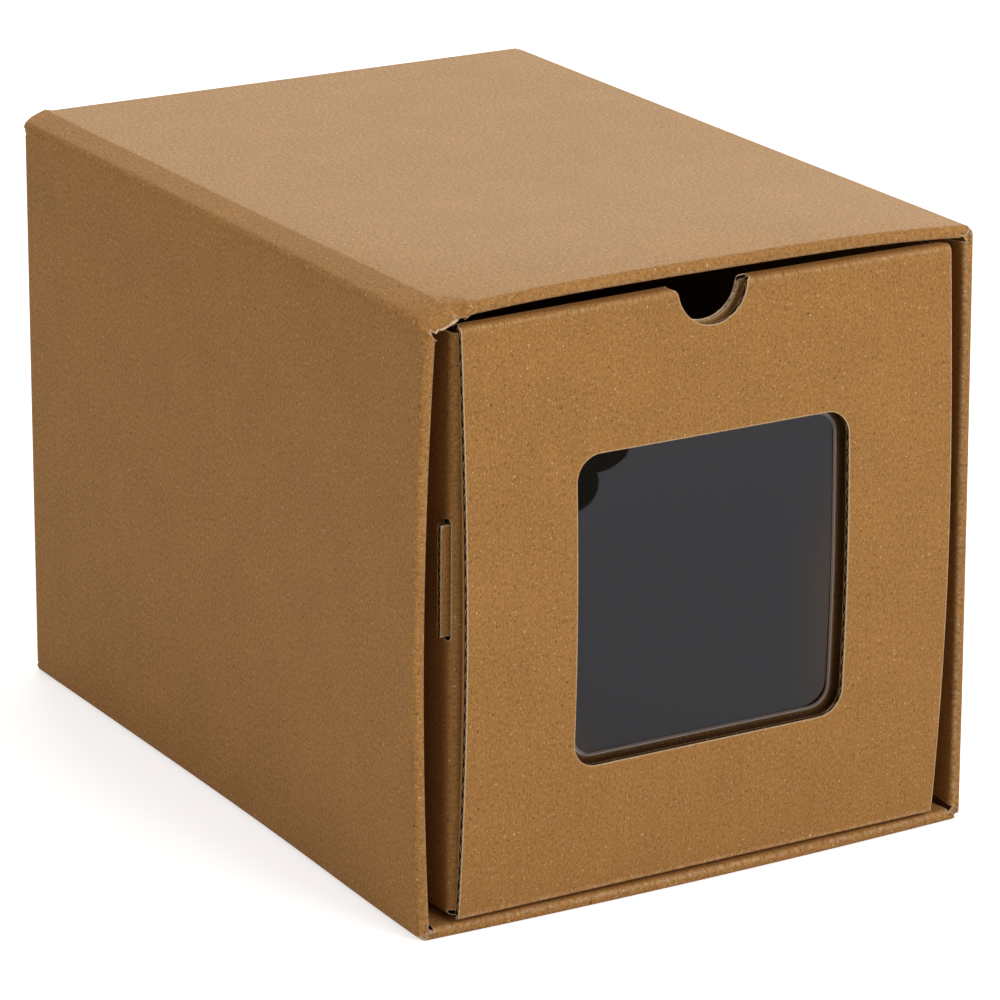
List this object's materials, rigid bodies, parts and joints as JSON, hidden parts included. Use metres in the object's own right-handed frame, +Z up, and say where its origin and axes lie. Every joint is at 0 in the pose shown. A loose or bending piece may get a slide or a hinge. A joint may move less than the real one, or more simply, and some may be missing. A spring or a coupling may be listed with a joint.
{
  "type": "window storage box",
  "caption": "Plain kraft corrugated storage box: a pull-out drawer with a film window and a finger notch, in a square sleeve with turned-in front hems.",
  "frame": {"origin": "bottom centre of the closed box's bounding box, on the surface it stands on", "axes": "+Z up, +X to the right and -Y towards the viewer of the front, the way the drawer pulls out"},
  "size_m": [0.25, 0.3516, 0.254],
  "materials": {
    "sleeve_board": "uncoated kraft liner",
    "drawer_board": "uncoated kraft liner",
    "clear_film": "clear gloss film"
  },
  "bodies": {
    "sleeve": {"sleeve": "sleeve_board"},
    "drawer": {"drawer": "drawer_board", "window_film": "clear_film"}
  },
  "joints": [
    {"name": "drawer_slide", "type": "slide", "parent": "sleeve", "child": "drawer", "axis": [0, -1, 0], "range_m": [0, 0.3]}
  ]
}
